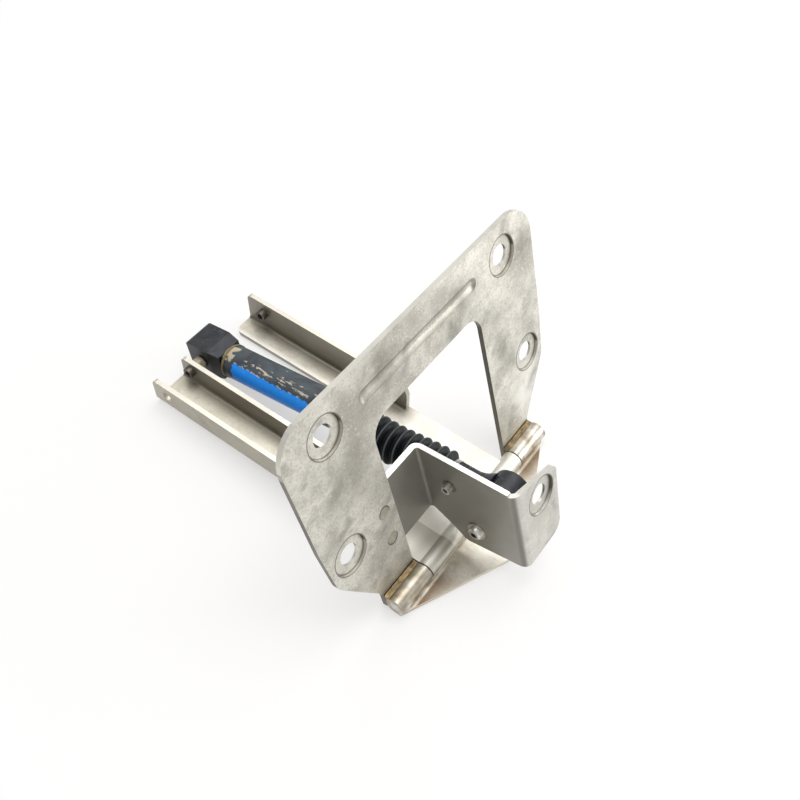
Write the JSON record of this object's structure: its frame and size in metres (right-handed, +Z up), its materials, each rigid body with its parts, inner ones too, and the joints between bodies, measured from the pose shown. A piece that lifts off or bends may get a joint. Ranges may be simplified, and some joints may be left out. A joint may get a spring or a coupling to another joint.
{
  "type": "snowmobile hood hinge",
  "caption": "Sheet steel hood hinge: a flat plate swings on a rolled pin hinge while a gas damper under a rubber bellows works between the chassis channels and a folded bracket",
  "frame": {"origin": "Under the middle of the whole part's box, at the height of the lowest sheet", "axes": "X along the hinge pin, Y along the chassis channels away from the hinge, Z up"},
  "size_m": [0.203, 0.2527, 0.1457],
  "materials": {
    "channel_steel": "satin folded sheet with fine scratches",
    "mottled_stainless": "mottled warm grey with bright cut edges",
    "bracket_steel": "satin folded sheet",
    "heat_tinted_steel": "brown and straw heat tint",
    "weld_gold": "straw coloured weld bead",
    "bright_fastener": "plain bright steel",
    "damper_paint": "worn dark blue grey paint with a plain blue band",
    "beige_fitting": "dull beige",
    "black_plastic": "moulded charcoal black",
    "black_rubber": "dull black rubber",
    "plated_rod": "plated and polished",
    "inner_alloy": "plain machined",
    "dark_nut": "blackened"
  },
  "bodies": {
    "base": {"chassis_bracket": "channel_steel", "mount_sleeve": "bright_fastener", "far_ball_stud": "bright_fastener", "stud_spacer": "beige_fitting"},
    "hood": {"hood_plate": "mottled_stainless", "swing_bracket": "bracket_steel", "knuckle_plate": "heat_tinted_steel", "knuckle_welds": "weld_gold", "hinge_pin": "bright_fastener", "flange_rivets": "bright_fastener", "wall_rivet": "bright_fastener", "wall_screw": "bright_fastener", "wall_washer": "bright_fastener", "wall_nut": "bright_fastener", "near_ball_stud": "bright_fastener"},
    "cylinder": {"damper_tube": "damper_paint", "end_collar": "beige_fitting", "far_socket": "black_plastic", "rod_guide": "inner_alloy", "rod_seal": "black_rubber", "bellows": "black_rubber"},
    "rod": {"piston_rod": "plated_rod", "piston": "inner_alloy", "near_socket": "black_plastic", "clamp_ring": "bright_fastener", "lock_nut": "dark_nut"}
  },
  "joints": [
    {"name": "hood_swing", "type": "hinge", "parent": "base", "child": "hood", "pos_m": [0, -0.07854, 0.00605], "axis": [1, 0, 0], "range_deg": [-15, 35]},
    {"name": "cylinder_pivot", "type": "hinge", "parent": "base", "child": "cylinder", "pos_m": [-0.007, 0.11246, 0.0196], "axis": [1, 0, 0], "range_deg": [-2.5, 5.5]},
    {"name": "rod_slide", "type": "slide", "parent": "cylinder", "child": "rod", "axis": [0.0117, -0.9899, 0.1416], "range_m": [-0.0097, 0.0223], "deforming": ["bellows"]}
  ],
  "couplings": [
    {"joint": "cylinder_pivot", "follows": "hood_swing", "ratio": 0.14316},
    {"joint": "rod_slide", "follows": "hood_swing", "m_per_rad": 0.03551}
  ]
}
